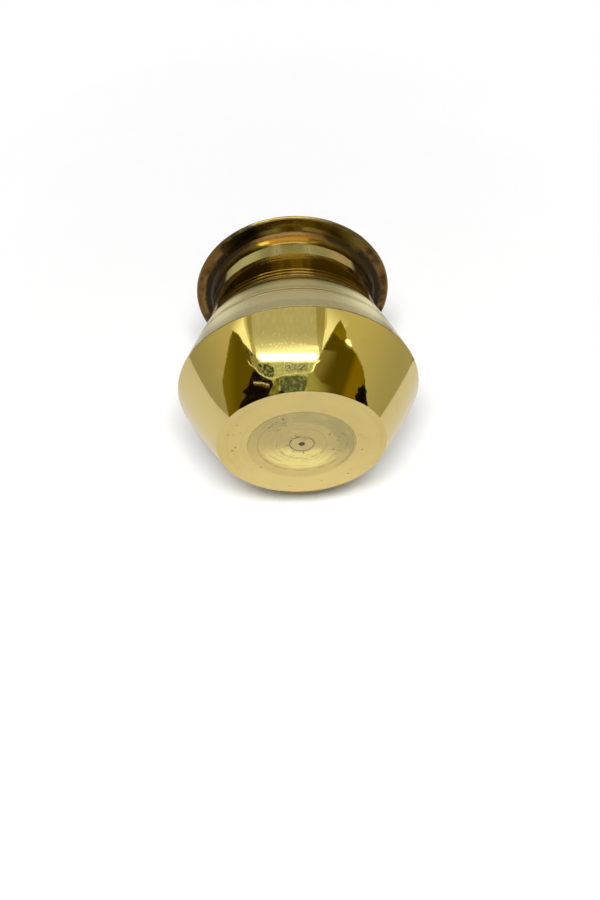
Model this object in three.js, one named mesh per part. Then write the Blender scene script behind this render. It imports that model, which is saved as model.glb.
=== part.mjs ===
// A small brass kalash, the round water pot of South Asian ritual: a turned pot brazed up from
// separate cast and spun pieces. Millimetres, +Z up, origin at the centre of the foot.
// Every piece is a closed profile of [radius, height] points turned about the Z axis.
import * as THREE from "three";

// Driving sizes of the outer shape
const BASE_RADIUS = 25.2;
const BELLY_RADIUS = 37.2;
const BELLY_HEIGHT = 20.0;
const SHOULDER_INSET = 8.0;
const NECK_FOOT_HEIGHT = 39.7;
const NECK_TAPER = 2.4;
const WAIST_DROP = 3.9;
const NECK_FLARE = 0.5;
const RIM_UNDERSIDE_HEIGHT = 62.9;
const RIM_RADIUS = 32.9;
const RIM_RISE = 0.8;
const LIP_THICKNESS = 1.2;

// Curves of the shoulder and the neck
const SHOULDER_ROUND_RADIUS = 3.6;
const SHOULDER_FOOT_SLOPE_DEG = 24;
const SHOULDER_CROWN = 0.12;
const NECK_SWEEP = 1.2;
const FLANK_CROWN = 0.5;

// Metal thickness
const WALL = 1.6;
const FLOOR_THICKNESS = 1.6;

// Foot recess, plug and its turning centre
const RECESS_RADIUS = 16.4;
const RECESS_DEPTH = 0.8;
const RECESS_CROWN = 0.12;
const PLUG_RADIUS = 3.5;
const PLUG_HEAD_OVERLAP = 1.8;
const PLUG_HEAD_THICKNESS = 1.0;
const DIMPLE_RADIUS = 0.85;
const DIMPLE_DEPTH = 0.5;
const PLUG_BRAZE_WIDTH = 0.3;
const PLUG_BRAZE_SINK = 0.08;

// Brazed lap joints: a spigot in a socket, with a ring of spelter at the outside of each seam
const FIT_GAP = 0.1;
const SPIGOT_HEIGHT = 2.4;
const SPIGOT_WALL = 1.2;
const BORE_BLEND = 2.0;
const SEAM_HEIGHT = 0.4;
const SEAM_DEPTH = 0.8;
const RIM_SPIGOT_HEIGHT = 2.2;
const RIM_SPIGOT_WALL = 1.0;
const RIM_BEAD_HEIGHT = 1.2;
const RIM_BEAD_PROUD = 0.8;
const RIM_BEAD_CROWN = 0.12;

// Engraved lines: pairs of fine grooves round the shoulder and the foot of the neck
const GROOVE_WIDTH = 0.4;
const GROOVE_DEPTH = 0.18;
const SHOULDER_GROOVE_DROP = 9.6;
const SHOULDER_GROOVE_SPACING = 1.5;
const SHOULDER_GROOVES = 2;
const NECK_GROOVE_RISE = 2.0;
const NECK_GROOVE_SPACING = 1.5;
const NECK_GROOVES = 3;

// Steps round the pot and along its curves
const TURN_STEPS = 64;
const FLANK_STEPS = 4;
const SIDE_STEPS = 6;
const ROUND_STEPS = 5;
const NECK_STEPS = 8;
const LIP_STEPS = 6;
const RECESS_STEPS = 4;
const BEAD_STEPS = 3;

// Points of a round stretch from a to b that bulges by sagitta to the right of the way from a to b.
function arcPoints(a, b, sagitta, steps) {
  const [dr, dz] = [b[0] - a[0], b[1] - a[1]];
  const chord = Math.hypot(dr, dz);
  const radius = (chord * chord / 4 + sagitta * sagitta) / (2 * sagitta);
  const side = [dz / chord, -dr / chord];
  const centre = [
    (a[0] + b[0]) / 2 - side[0] * (radius - sagitta),
    (a[1] + b[1]) / 2 - side[1] * (radius - sagitta),
  ];
  const start = Math.atan2(a[1] - centre[1], a[0] - centre[0]);
  const sweep = 4 * Math.atan2(2 * sagitta, chord);
  return Array.from({ length: steps + 1 }, (_, i) => {
    const angle = start + (sweep * i) / steps;
    const reach = Math.abs(radius);
    return [centre[0] + reach * Math.cos(angle), centre[1] + reach * Math.sin(angle)];
  });
}

// The outline moved inwards, square to itself, by one wall thickness.
function innerOf(outline) {
  return outline.map((point, i) => {
    const before = outline[Math.max(i - 1, 0)];
    const after = outline[Math.min(i + 1, outline.length - 1)];
    const [dr, dz] = [after[0] - before[0], after[1] - before[1]];
    const length = Math.hypot(dr, dz);
    return [point[0] - (WALL * dz) / length, point[1] + (WALL * dr) / length];
  });
}

// Radius of an outline of rising points at one height.
function radiusAt(outline, height) {
  const upper = outline.findIndex((point, i) => i > 0 && point[1] >= height);
  const i = upper < 1 ? outline.length - 1 : upper;
  const [[r0, z0], [r1, z1]] = [outline[i - 1], outline[i]];
  return r0 + ((r1 - r0) * (height - z0)) / (z1 - z0);
}

// The outline with a V groove cut at each height of a row of equally spaced ones.
function withGrooves(outline, lowest, spacing, count) {
  const points = outline.map((point) => [...point]);
  for (let i = 0; i < count; i += 1) {
    const height = lowest + i * spacing;
    const [low, high] = [height - GROOVE_WIDTH / 2, height + GROOVE_WIDTH / 2];
    const kept = points.filter((point) => point[1] < low || point[1] > high);
    kept.push([radiusAt(outline, low), low]);
    kept.push([radiusAt(outline, height) - GROOVE_DEPTH, height]);
    kept.push([radiusAt(outline, high), high]);
    points.splice(0, points.length, ...kept.sort((a, b) => a[1] - b[1]));
  }
  return points;
}

// A solid turned from a loop of points that runs anticlockwise, or from axis to axis.
function turned(name, material, loop) {
  const closed = loop[0][0] === 0 ? loop : [...loop, loop[0]];
  const profile = closed.map(([r, z]) => new THREE.Vector2(r, z));
  const mesh = new THREE.Mesh(new THREE.LatheGeometry(profile, TURN_STEPS), material);
  mesh.geometry.rotateX(Math.PI / 2);
  mesh.name = name;
  return mesh;
}

// A ring of rectangular section between two radii and two heights.
function ring(name, material, inner, outer, bottom, top) {
  return turned(name, material, [
    [inner, bottom],
    [outer, bottom],
    [outer, top],
    [inner, top],
  ]);
}

function metal(color, roughness) {
  return new THREE.MeshStandardMaterial({ color, roughness, metalness: 1 });
}

// Radii of the neck, from the belly inwards
const neckFootRadius = BELLY_RADIUS - SHOULDER_INSET;
const waistRadius = neckFootRadius - NECK_TAPER;
const neckTopRadius = waistRadius + NECK_FLARE;

// Seam heights, and the top of each spigot
const bellySeamBottom = BELLY_HEIGHT - SEAM_HEIGHT / 2;
const bellySeamTop = BELLY_HEIGHT + SEAM_HEIGHT / 2;
const bellySpigotTop = bellySeamTop + SPIGOT_HEIGHT;
const neckSeamBottom = NECK_FOOT_HEIGHT;
const neckSeamTop = NECK_FOOT_HEIGHT + SEAM_HEIGHT;
const neckSpigotTop = neckSeamTop + SPIGOT_HEIGHT;
const waistHeight = RIM_UNDERSIDE_HEIGHT - WAIST_DROP;
const rimBeadBottom = RIM_UNDERSIDE_HEIGHT - RIM_BEAD_HEIGHT;
const rimSpigotBottom = rimBeadBottom - RIM_SPIGOT_HEIGHT;
const floorTop = RECESS_DEPTH + FLOOR_THICKNESS;
const shoulderGrooveHeight = neckSeamBottom - SHOULDER_GROOVE_DROP;

// Lower bowl: a crisp cone from the foot to the belly edge, with a shallow dish under the foot
const flank = arcPoints(
  [BASE_RADIUS, 0],
  [BELLY_RADIUS, bellySeamBottom],
  FLANK_CROWN,
  FLANK_STEPS,
);
const flankInside = innerOf(flank);

// Shoulder: a nearly straight side, tangent to the small round at the foot of the neck
const footSlope = THREE.MathUtils.degToRad(SHOULDER_FOOT_SLOPE_DEG);
const roundCentre = [
  neckFootRadius - SHOULDER_ROUND_RADIUS * Math.sin(footSlope),
  NECK_FOOT_HEIGHT - SHOULDER_ROUND_RADIUS * Math.cos(footSlope),
];
const sideStart = [BELLY_RADIUS, bellySeamTop];
const [towardsAxis, upwards] = [sideStart[0] - roundCentre[0], roundCentre[1] - sideStart[1]];
const centreRise = Math.atan2(upwards, towardsAxis);
const sideSlope =
  centreRise + Math.asin(SHOULDER_ROUND_RADIUS / Math.hypot(upwards, towardsAxis));
const shoulderRound = Array.from({ length: ROUND_STEPS + 1 }, (_, i) => {
  const slope = sideSlope + ((footSlope - sideSlope) * i) / ROUND_STEPS;
  return [
    roundCentre[0] + SHOULDER_ROUND_RADIUS * Math.sin(slope),
    roundCentre[1] + SHOULDER_ROUND_RADIUS * Math.cos(slope),
  ];
});
const shoulder = [
  ...arcPoints(sideStart, shoulderRound[0], SHOULDER_CROWN, SIDE_STEPS),
  ...shoulderRound.slice(1),
];
const shoulderInside = innerOf(shoulder);

// Neck: draws in from its foot to the waist, then turns out to the rim
const neck = Array.from({ length: NECK_STEPS + 1 }, (_, i) => {
  const part = i / NECK_STEPS;
  const height = neckSeamTop + (waistHeight - neckSeamTop) * part;
  const open = (1 - part) ** NECK_SWEEP;
  return [waistRadius + (neckFootRadius - waistRadius) * open, height];
});
neck.push([
  waistRadius + (neckTopRadius - waistRadius) / 4,
  (waistHeight + rimBeadBottom) / 2,
]);
neck.push([neckTopRadius, rimBeadBottom]);
const neckInside = innerOf(neck);

// Radii of the three lap joints
const bellySocket = Math.min(radiusAt(shoulder, bellySpigotTop), BELLY_RADIUS) - WALL / 2;
const bellySpigot = bellySocket - FIT_GAP;
const bellyBore = bellySpigot - SPIGOT_WALL;
const neckSocket = radiusAt(neck, neckSpigotTop) - WALL / 2;
const neckSpigot = neckSocket - FIT_GAP;
const neckBore = neckSpigot - SPIGOT_WALL;
const rimSocket = Math.min(radiusAt(neck, rimSpigotBottom), neckTopRadius) - WALL / 2;
const rimSpigot = rimSocket - FIT_GAP;
const mouthRadius = rimSpigot - RIM_SPIGOT_WALL;

const brass = metal(0xc9a961, 0.22);
const paleBrass = metal(0xd0b97c, 0.28);
const darkBrass = metal(0x6f5a33, 0.35);
const spelter = metal(0xb0753f, 0.4);
const dullSpelter = metal(0x7d6a42, 0.5);

const boreFoot = bellySeamBottom - BORE_BLEND;
const flankInsideBelow = flankInside.filter(([, z]) => z > floorTop && z < boreFoot).reverse();
const plugHole = PLUG_RADIUS + PLUG_BRAZE_WIDTH;
const lowerBowl = turned("lower_bowl", brass, [
  ...flank,
  [BELLY_RADIUS - SEAM_DEPTH, bellySeamBottom],
  [BELLY_RADIUS - SEAM_DEPTH, bellySeamTop],
  [bellySpigot, bellySeamTop],
  [bellySpigot, bellySpigotTop],
  [bellyBore, bellySpigotTop],
  [bellyBore, bellySeamBottom],
  [radiusAt(flankInside, boreFoot), boreFoot],
  ...flankInsideBelow,
  [radiusAt(flankInside, floorTop), floorTop],
  [plugHole, floorTop],
  ...arcPoints([plugHole, RECESS_DEPTH], [RECESS_RADIUS, 0], -RECESS_CROWN, RECESS_STEPS),
]);

const neckLedgeUnderside = shoulderInside.at(-1)[1];
const shoulderInsideBetween = shoulderInside
  .filter(([, z]) => z > bellySpigotTop + FIT_GAP)
  .reverse();
const shoulderShell = turned("shoulder_shell", brass, [
  ...withGrooves(shoulder, shoulderGrooveHeight, SHOULDER_GROOVE_SPACING, SHOULDER_GROOVES),
  [neckFootRadius - SEAM_DEPTH, neckSeamBottom],
  [neckFootRadius - SEAM_DEPTH, neckSeamTop],
  [neckSpigot, neckSeamTop],
  [neckSpigot, neckSpigotTop],
  [neckBore, neckSpigotTop],
  [neckBore, neckLedgeUnderside],
  ...shoulderInsideBetween,
  [radiusAt(shoulderInside, bellySpigotTop + FIT_GAP), bellySpigotTop + FIT_GAP],
  [bellySocket, bellySpigotTop + FIT_GAP],
  [bellySocket, bellySeamTop],
]);

const neckInsideBetween = neckInside
  .filter(([, z]) => z > neckSpigotTop + FIT_GAP && z < rimSpigotBottom - FIT_GAP)
  .reverse();
const neckCollar = turned("neck_collar", darkBrass, [
  ...withGrooves(neck, neckSeamTop + NECK_GROOVE_RISE, NECK_GROOVE_SPACING, NECK_GROOVES),
  [rimSocket, rimBeadBottom],
  [rimSocket, rimSpigotBottom - FIT_GAP],
  [radiusAt(neckInside, rimSpigotBottom - FIT_GAP), rimSpigotBottom - FIT_GAP],
  ...neckInsideBetween,
  [radiusAt(neckInside, neckSpigotTop + FIT_GAP), neckSpigotTop + FIT_GAP],
  [neckSocket, neckSpigotTop + FIT_GAP],
  [neckSocket, neckSeamTop],
]);

// Rim: a broad flange that rises slightly to a thin rounded lip, on a spigot in the neck
const rimBeadRadius = neckTopRadius + RIM_BEAD_PROUD;
const lipBottom = RIM_UNDERSIDE_HEIGHT + RIM_RISE;
const lip = arcPoints(
  [RIM_RADIUS - LIP_THICKNESS / 2, lipBottom],
  [RIM_RADIUS - LIP_THICKNESS / 2, lipBottom + LIP_THICKNESS],
  LIP_THICKNESS / 2,
  LIP_STEPS,
);
const mouthRim = turned("mouth_rim", darkBrass, [
  [mouthRadius, rimSpigotBottom],
  [rimSpigot, rimSpigotBottom],
  [rimSpigot, RIM_UNDERSIDE_HEIGHT],
  [rimBeadRadius, RIM_UNDERSIDE_HEIGHT],
  ...lip,
  [rimBeadRadius, RIM_UNDERSIDE_HEIGHT + LIP_THICKNESS],
  [mouthRadius, RIM_UNDERSIDE_HEIGHT + LIP_THICKNESS],
]);

const bellyBrazeRing = ring(
  "belly_braze_ring",
  spelter,
  BELLY_RADIUS - SEAM_DEPTH,
  BELLY_RADIUS,
  bellySeamBottom,
  bellySeamTop,
);
const neckBrazeRing = ring(
  "neck_braze_ring",
  spelter,
  neckFootRadius - SEAM_DEPTH,
  neckFootRadius,
  neckSeamBottom,
  neckSeamTop,
);
const rimBrazeRing = turned("rim_braze_ring", spelter, [
  [rimSocket, rimBeadBottom],
  ...arcPoints(
    [neckTopRadius, rimBeadBottom],
    [rimBeadRadius, RIM_UNDERSIDE_HEIGHT],
    -RIM_BEAD_CROWN,
    BEAD_STEPS,
  ),
  [rimSocket, RIM_UNDERSIDE_HEIGHT],
]);

// Plug: a stepped disc that closes the turning hole in the floor, its head inside the pot
const plugHead = plugHole + PLUG_HEAD_OVERLAP;
const centrePlug = turned("centre_plug", paleBrass, [
  [0, RECESS_DEPTH + DIMPLE_DEPTH],
  [DIMPLE_RADIUS, RECESS_DEPTH],
  [PLUG_RADIUS, RECESS_DEPTH],
  [PLUG_RADIUS, floorTop],
  [plugHead, floorTop],
  [plugHead, floorTop + PLUG_HEAD_THICKNESS],
  [0, floorTop + PLUG_HEAD_THICKNESS],
]);
const plugBrazeRing = ring(
  "plug_braze_ring",
  dullSpelter,
  PLUG_RADIUS,
  plugHole,
  RECESS_DEPTH + PLUG_BRAZE_SINK,
  floorTop,
);

const kalash = new THREE.Group();
kalash.name = "kalash";
kalash.add(lowerBowl, shoulderShell, neckCollar, mouthRim);
kalash.add(bellyBrazeRing, neckBrazeRing, rimBrazeRing);
kalash.add(centrePlug, plugBrazeRing);

export default kalash;
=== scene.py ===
"""A small brass kalash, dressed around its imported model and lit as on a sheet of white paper.

Each piece is a class with its sizes as fields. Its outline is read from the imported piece, refined
between its corners and spun about the pot's axis. All sizes are in metres unless a name or a class
says otherwise. Azimuth runs from -Y, the side that faces the camera, towards +X.
"""

from __future__ import annotations

import logging
import math
from dataclasses import dataclass
from enum import Enum
from functools import cache, reduce

import bmesh
import bpy
from mathutils import Matrix, Vector, noise

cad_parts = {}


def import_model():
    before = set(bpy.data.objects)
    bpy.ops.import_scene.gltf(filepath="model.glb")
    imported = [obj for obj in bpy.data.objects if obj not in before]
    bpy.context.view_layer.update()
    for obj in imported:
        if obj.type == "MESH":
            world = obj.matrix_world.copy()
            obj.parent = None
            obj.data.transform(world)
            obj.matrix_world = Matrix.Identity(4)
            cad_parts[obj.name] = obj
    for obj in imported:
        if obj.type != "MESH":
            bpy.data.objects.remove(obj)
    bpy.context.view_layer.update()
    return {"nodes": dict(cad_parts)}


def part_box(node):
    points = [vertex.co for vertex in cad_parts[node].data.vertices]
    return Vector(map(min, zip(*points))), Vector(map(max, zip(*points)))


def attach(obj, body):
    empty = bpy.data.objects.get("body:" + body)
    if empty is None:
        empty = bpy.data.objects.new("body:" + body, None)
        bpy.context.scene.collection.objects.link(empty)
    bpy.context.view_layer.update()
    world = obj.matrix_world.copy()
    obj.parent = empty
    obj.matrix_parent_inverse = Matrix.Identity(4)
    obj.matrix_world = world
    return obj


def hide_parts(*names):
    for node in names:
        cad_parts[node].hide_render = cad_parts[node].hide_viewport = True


LOG = logging.getLogger("kalash")

MM = 0.001
SPIN_STEPS = 288
SHARP_CORNER = math.radians(20.0)
WELD = 0.002 * MM
PICTURE_SIZE = (600, 900)
SENSOR_MM = 36.0
UP = Vector((0.0, 0.0, 1.0))
RIGHT = Vector((1.0, 0.0, 0.0))

Point = tuple[float, float]
Colour = tuple[float, float, float]
Socket = bpy.types.NodeSocket


def box(left: float, right: float, low: float, high: float) -> tuple[Point, ...]:
    """The corners of an upright oblong."""
    return ((left, low), (right, low), (right, high), (left, high))


def mirrored(right: tuple[Point, ...]) -> tuple[Point, ...]:
    """An outline that is alike on both sides, from its right half."""
    left = [(-x, y) for x, y in right]
    return (left[0], *right, *reversed(left[1:]))


def level(vector: Vector) -> Vector:
    """A vector without its height."""
    return Vector((vector.x, vector.y, 0.0))


def new_object(name: str, work: bmesh.types.BMesh) -> bpy.types.Object:
    """Make an object of the scene, at the origin.

    Args:
        name: The name of the object and its mesh.
        work: The finished mesh, which is freed.

    Returns:
        The object.
    """
    mesh = bpy.data.meshes.new(name)
    work.to_mesh(mesh)
    work.free()
    made = bpy.data.objects.new(name, mesh)
    bpy.context.scene.collection.objects.link(made)
    return made


class Turning(Enum):
    """Which way a tool ran over a surface."""

    ROUND = "round"
    FACE = "face"


class Sees(Enum):
    """Which rays a stage object shows itself to."""

    CAMERA = "camera"
    GLOSSY = "glossy"
    ALL_BUT_GLOSSY = "all but glossy"

    def limit(self, item: bpy.types.Object) -> None:
        """Let an object show itself to these rays only.

        Args:
            item: The object.
        """
        item.visible_camera = self is not Sees.GLOSSY
        item.visible_glossy = self is Sees.GLOSSY
        item.visible_diffuse = self is Sees.ALL_BUT_GLOSSY
        item.visible_shadow = self is Sees.ALL_BUT_GLOSSY
        item.visible_transmission = self is Sees.ALL_BUT_GLOSSY


@dataclass(frozen=True)
class NodeTree:
    """A short hand for building nodes. A value is a socket, a number or a plain colour."""

    tree: bpy.types.NodeTree

    @classmethod
    def bare(cls, name: str) -> tuple[bpy.types.Material, NodeTree]:
        """Make a material without nodes.

        Args:
            name: The material's name.

        Returns:
            The material and the short hand for its nodes.
        """
        made = bpy.data.materials.new(name)
        made.use_nodes = True
        made.node_tree.nodes.clear()
        return made, cls(made.node_tree)

    def add(self, kind: str, **settings: object) -> bpy.types.Node:
        """Add a node.

        Args:
            kind: Blender's name of the node type.
            settings: Properties of the node, by name.

        Returns:
            The new node.
        """
        node = self.tree.nodes.new(kind)
        for name, setting in settings.items():
            setattr(node, name, setting)
        return node

    def feed(self, value: object, target: Socket) -> None:
        """Join a socket to an input, or write a plain value there.

        Args:
            value: The socket, number or colour.
            target: The input.
        """
        if isinstance(value, Socket):
            self.tree.links.new(value, target)
        elif isinstance(value, tuple) and target.type == "RGBA":
            target.default_value = (*value, 1.0)
        else:
            target.default_value = value

    def fed(self, kind: str, *values: object, **settings: object) -> Socket:
        """Add a node and feed its inputs in order.

        Args:
            kind: Blender's name of the node type.
            values: The values of its first inputs.
            settings: Properties of the node, by name.

        Returns:
            The node's first output.
        """
        node = self.add(kind, **settings)
        for socket, value in zip(node.inputs, values):
            self.feed(value, socket)
        return node.outputs[0]

    def math(self, operation: str, *values: object) -> Socket:
        """Work out one of Blender's operations on numbers."""
        return self.fed("ShaderNodeMath", *values, operation=operation)

    def total(self, *values: object) -> Socket:
        """Add up two or more values."""
        return reduce(lambda first, second: self.math("ADD", first, second), values)

    def product(self, *values: object) -> Socket:
        """Multiply two or more values."""
        return reduce(lambda first, second: self.math("MULTIPLY", first, second), values)

    def less(self, first: object, second: object) -> Socket:
        """The first value less the second."""
        return self.math("SUBTRACT", first, second)

    def ramp(self, source: Socket, low: float, high: float) -> Socket:
        """Spread a value from low..high over 0..1, clamped and smooth. It falls where low is above high."""
        return self.fed("ShaderNodeMapRange", source, low, high, interpolation_type="SMOOTHSTEP")

    def combine(self, x: object, y: object, z: object = 0.0) -> Socket:
        """Make a vector of three values."""
        return self.fed("ShaderNodeCombineXYZ", x, y, z)

    def measure(self, operation: str, vector: Socket, other: Vector | None = None) -> Socket:
        """Work out a number from a vector.

        Args:
            operation: Blender's name of the operation, such as its length.
            vector: The vector.
            other: The fixed vector that some operations set it against.

        Returns:
            The number.
        """
        node = self.add("ShaderNodeVectorMath", operation=operation)
        self.feed(vector, node.inputs[0])
        if other is not None:
            node.inputs[1].default_value = other
        return node.outputs["Value"]

    def noise(self, vector: Socket, scale: float, detail: float) -> Socket:
        """Add a Noise texture.

        Args:
            vector: Where it is read.
            scale: Its scale, per unit of the vector.
            detail: Its octaves.

        Returns:
            Its factor.
        """
        node = self.add("ShaderNodeTexNoise")
        for name, value in (("Vector", vector), ("Scale", scale), ("Detail", detail)):
            self.feed(value, node.inputs[name])
        return node.outputs["Fac"]

    def mix(self, factor: object, first: object, second: object) -> Socket:
        """Mix two colours by a factor."""
        return self._mixed("RGBA", "RGBA", (factor, first, second))

    def blend(self, factor: object, first: object, second: object) -> Socket:
        """Mix two numbers by a factor."""
        return self._mixed("FLOAT", "VALUE", (factor, first, second))

    def _mixed(self, data_type: str, kind: str, values: tuple[object, ...]) -> Socket:
        """Add a Mix node.

        Args:
            data_type: Blender's name of what it mixes.
            kind: Blender's name of the sockets for it.
            values: The factor and the two values.

        Returns:
            The node's result.
        """
        node = self.add("ShaderNodeMix", data_type=data_type)
        wanted = (("Factor", "VALUE"), ("A", kind), ("B", kind))
        for (name, socket_kind), value in zip(wanted, values):
            self.feed(value, next(s for s in node.inputs if s.name == name and s.type == socket_kind))
        return next(s for s in node.outputs if s.type == kind)

    def end(self, shader: Socket) -> None:
        """End a material with a shader."""
        self.feed(shader, self.add("ShaderNodeOutputMaterial").inputs["Surface"])


@dataclass(frozen=True)
class Surface:
    """The places on a turned surface that its finish follows."""

    WANDER_SCALE = 420.0

    place: Socket
    radius: Socket
    azimuth: Socket
    height: Socket
    run: Socket
    wander: Socket

    @classmethod
    def read(cls, tree: NodeTree, turning: Turning) -> Surface:
        """Work the places out from Object coordinates.

        Args:
            tree: The material's nodes.
            turning: Whether the tool ran round a wall or over a face.

        Returns:
            The places, with run the height of a wall or the radius on a face.
        """
        place = tree.add("ShaderNodeTexCoord").outputs["Object"]
        parts = tree.add("ShaderNodeSeparateXYZ")
        tree.feed(place, parts.inputs[0])
        x, y, height = parts.outputs
        radius = tree.math("SQRT", tree.total(tree.product(x, x), tree.product(y, y)))
        azimuth = tree.math("ARCTAN2", x, tree.product(y, -1.0))
        wander = tree.less(tree.noise(place, cls.WANDER_SCALE, 5.0), 0.5)
        run = height if turning is Turning.ROUND else radius
        return cls(place, radius, azimuth, height, run, wander)


@dataclass(frozen=True)
class Side:
    """The side of the pot that a band keeps to, with soft and ragged ends, in degrees of azimuth."""

    facing: float
    reach: float
    soft: float = 10.0
    ragged_rad: float = 0.5

    def mask(self, tree: NodeTree, surface: Surface) -> Socket:
        """Build the side's mask.

        Args:
            tree: The material's nodes.
            surface: The places that it reads.

        Returns:
            A value that is 1 on that side.
        """
        turned = tree.less(surface.azimuth, math.radians(self.facing))
        facing = tree.math("COSINE", tree.total(turned, tree.product(surface.wander, self.ragged_rad)))
        outer = math.radians(min(self.reach + self.soft, 180.0))
        inner = math.radians(max(self.reach - self.soft, 0.0))
        return tree.ramp(facing, math.cos(outer), math.cos(inner))


@dataclass(frozen=True)
class Patches:
    """Noise that leaves a band bare where it is below a level.

    Stretch draws it out: it is the noise's scale per metre across the turning and per radian along it.
    """

    DETAIL = 5.0

    level: float
    soft: float = 0.1
    scale: float = 380.0
    stretch: Point | None = None

    def mask(self, tree: NodeTree, surface: Surface) -> Socket:
        """Build the mask of the patches.

        Args:
            tree: The material's nodes.
            surface: The places that it reads.

        Returns:
            A value that is 1 inside the patches.
        """
        if self.stretch is None:
            clouds = tree.noise(surface.place, self.scale, self.DETAIL)
        else:
            across, along = self.stretch
            drawn = tree.combine(tree.product(surface.run, across), tree.product(surface.azimuth, along))
            clouds = tree.noise(drawn, 1.0, self.DETAIL)
        return tree.ramp(clouds, self.level - self.soft, self.level + self.soft)


@dataclass(frozen=True)
class Zone:
    """A band of other tone within a finish, by radius or height in millimetres."""

    low: float
    high: float
    colour: Colour
    roughness: float
    soft: float = 0.25
    ragged: float = 0.4
    side: Side | None = None
    patches: Patches | None = None
    metal: float = 1.0

    def mask(self, tree: NodeTree, surface: Surface) -> Socket:
        """Build the band's mask.

        Args:
            tree: The material's nodes.
            surface: The places that it reads.

        Returns:
            A value that is 1 inside the band.
        """
        run = tree.total(surface.run, tree.product(surface.wander, self.ragged * MM))
        above = tree.ramp(run, (self.low - self.soft) * MM, (self.low + self.soft) * MM)
        below = tree.ramp(run, (self.high + self.soft) * MM, (self.high - self.soft) * MM)
        parts = [part.mask(tree, surface) for part in (self.side, self.patches) if part is not None]
        return tree.product(above, below, *parts)


@dataclass(frozen=True)
class BrassFinish:
    """Turned brass, with tool marks, scratches, tarnish, small pits and bands of other tone, some of which
    are painted shade, painted highlights and painted reflections.

    The named values are shared by every finish. A scale is of noise, per metre across the turning
    and per radian along it, and an edge is the stretch of noise over which something comes in.
    """

    DRIFT_SCALE = 45.0
    DRIFT_EDGE = (0.35, 0.7)
    STAIN_CUT = 0.78
    STAIN_CUT_PER_SHARE = 0.34
    STAIN_EDGE = (-0.14, 0.05)
    STAIN_ROUGHNESS = 0.12
    MARK_ALONG = 0.35
    MARK_EDGE = (0.5, 0.75)
    MARK_DARKNESS = 0.35
    SCRATCH_ACROSS = 900.0
    SCRATCH_ALONG = 60.0
    SCRATCH_SCALE = 2.2
    SCRATCH_EDGE = (0.63, 0.7)
    CHATTER_ACROSS = 90.0
    CHATTER_ALONG = 120.0
    CHATTER_PATCH_SCALE = 110.0
    CHATTER_PATCH_EDGE = (0.5, 0.62)
    PIT_SCALE = 2600.0
    PIT_RAGGED = 0.9 * MM
    PIT_SOFT = 0.12 * MM
    PIT_TONE = 0.75
    PIT_DEPTH = 0.12

    name: str
    colour: Colour
    deep: Colour
    tarnish: Colour
    roughness: float = 0.12
    roughness_spread: float = 0.06
    tarnish_share: float = 0.3
    turning: Turning = Turning.ROUND
    grain: float = 160.0
    mark_pitch: float = 0.22 * MM
    mark_depth: float = 0.004
    mark_tone: float = 0.08
    scratch_depth: float = 0.004
    chatter_depth: float = 0.0
    zones: tuple[Zone, ...] = ()
    pits: tuple[tuple[Point, float], ...] = ()

    @cache
    def material(self) -> bpy.types.Material:
        """Build the material, once for all the pieces that have it.

        Returns:
            A metal material that reads Object coordinates.
        """
        made = bpy.data.materials.new(self.name)
        made.use_nodes = True
        tree = NodeTree(made.node_tree)
        shader = made.node_tree.nodes["Principled BSDF"]
        surface = Surface.read(tree, self.turning)

        drift = tree.noise(surface.place, self.DRIFT_SCALE, 4.0)
        blotch = tree.noise(surface.place, self.grain, 6.0)
        across = tree.product(surface.run, 1.0 / self.mark_pitch)
        marks = tree.noise(tree.combine(across, tree.product(surface.azimuth, self.MARK_ALONG)), 1.0, 3.0)
        scratch = self._scratches(tree, surface)

        tone = tree.mix(tree.ramp(drift, *self.DRIFT_EDGE), self.colour, self.deep)
        cut = self.STAIN_CUT - self.STAIN_CUT_PER_SHARE * self.tarnish_share
        clouds = tree.product(tree.total(blotch, drift), 0.5)
        stain = tree.ramp(clouds, *(cut + edge for edge in self.STAIN_EDGE))
        tone = tree.mix(stain, tone, self.tarnish)
        smoothest = self.roughness - self.roughness_spread
        rough = tree.product(tree.total(marks, blotch), self.roughness_spread)
        rough = tree.total(rough, smoothest, tree.product(stain, self.STAIN_ROUGHNESS))
        metal: object = 1.0
        for zone in self.zones:
            mask = zone.mask(tree, surface)
            tone = tree.mix(mask, tone, zone.colour)
            rough = tree.blend(mask, rough, zone.roughness)
            if zone.metal < 1.0:
                metal = tree.blend(mask, metal, zone.metal)
        dark = tuple(self.MARK_DARKNESS * part for part in self.deep)
        tone = tree.mix(tree.product(tree.ramp(marks, *self.MARK_EDGE), self.mark_tone), tone, dark)
        relief = tree.product(marks, self.mark_depth)
        relief = tree.less(relief, tree.product(scratch, self.scratch_depth))
        if self.chatter_depth > 0.0:
            relief = tree.total(relief, tree.product(self._chatter(tree, surface), self.chatter_depth))
        if self.pits:
            pit = self._pit_mask(tree, surface)
            tone = tree.mix(tree.product(pit, self.PIT_TONE), tone, dark)
            relief = tree.less(relief, tree.product(pit, self.PIT_DEPTH))

        bump = tree.add("ShaderNodeBump")
        for name, value in (("Strength", 1.0), ("Distance", MM), ("Height", relief)):
            tree.feed(value, bump.inputs[name])
        looks = {"Base Color": tone, "Roughness": rough, "Metallic": metal, "Normal": bump.outputs["Normal"]}
        for name, value in looks.items():
            tree.feed(value, shader.inputs[name])
        return made

    def _scratches(self, tree: NodeTree, surface: Surface) -> Socket:
        """Sparse fine scratches, longer along the turning than across it.

        Args:
            tree: The material's nodes.
            surface: The places that they follow.

        Returns:
            A value that is 1 in a scratch.
        """
        scored = tree.combine(
            tree.product(surface.height, self.SCRATCH_ACROSS),
            tree.product(surface.azimuth, self.SCRATCH_ALONG),
            tree.product(surface.radius, self.SCRATCH_ACROSS),
        )
        return tree.ramp(tree.noise(scored, self.SCRATCH_SCALE, 2.0), *self.SCRATCH_EDGE)

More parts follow.
